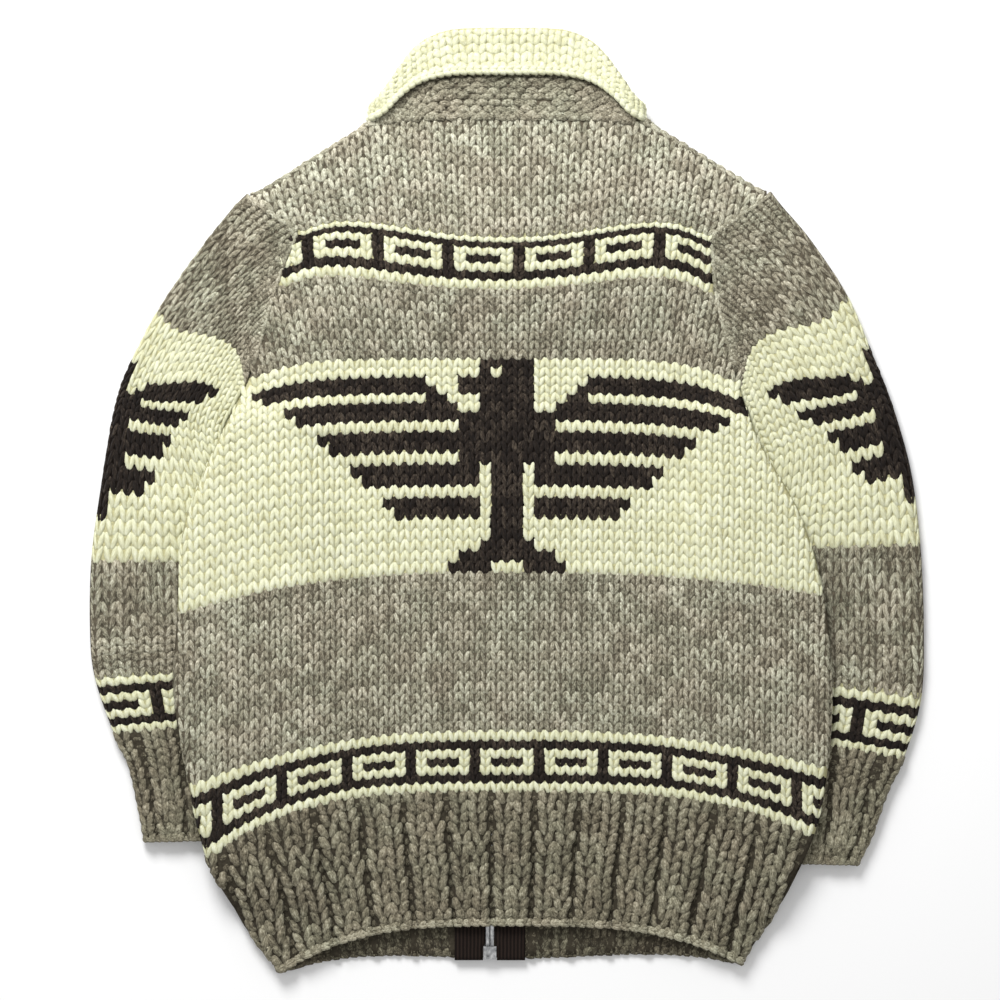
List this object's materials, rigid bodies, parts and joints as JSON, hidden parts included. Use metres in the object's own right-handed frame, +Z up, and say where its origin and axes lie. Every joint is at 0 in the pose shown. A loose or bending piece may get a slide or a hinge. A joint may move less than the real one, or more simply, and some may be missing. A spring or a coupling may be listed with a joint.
{
  "type": "cowichan cardigan",
  "caption": "Bulky hand-knitted zip cardigan with a folded collar, ribbed hem and cuffs, patterned bands and a spread-wing bird, laid flat on its front.",
  "frame": {"origin": "centre of the bounding box on the surface that the garment lies on", "axes": "+Z up from the surface, +Y from hem to neck, +X to the wearer's right; the back faces up"},
  "size_m": [0.688, 0.7778, 0.0254],
  "materials": {
    "heather_wool": "heather grey-brown bulky wool, stocking stitch",
    "rib_wool": "darker heather bulky wool, two-by-two rib",
    "cream_wool": "natural cream bulky wool",
    "zip_tape": "woven brown zip tape",
    "zip_metal": "bright metal zip"
  },
  "bodies": {
    "garment": {"back": "heather_wool", "back_rib": "rib_wool", "front_left": "heather_wool", "front_right": "heather_wool", "front_rib_left": "rib_wool", "front_rib_right": "rib_wool", "sleeve_left": "heather_wool", "sleeve_right": "heather_wool", "cuff_left": "rib_wool", "cuff_right": "rib_wool", "collar": "cream_wool", "zip_tape_left": "zip_tape", "zip_tape_right": "zip_tape", "zip_teeth_left": "zip_metal", "zip_teeth_right": "zip_metal", "zip_pin_left": "zip_metal", "zip_pin_right": "zip_metal", "zip_box": "zip_metal", "zip_slider": "zip_metal", "zip_bail": "zip_metal"},
    "pull_tab": {"zip_pull_tab": "zip_metal"}
  },
  "joints": [
    {"name": "pull_tab_swing", "type": "hinge", "parent": "garment", "child": "pull_tab", "pos_m": [-0.014, 0.218, 0.00685], "axis": [1, 0, 0], "range_deg": [0, 180]}
  ]
}
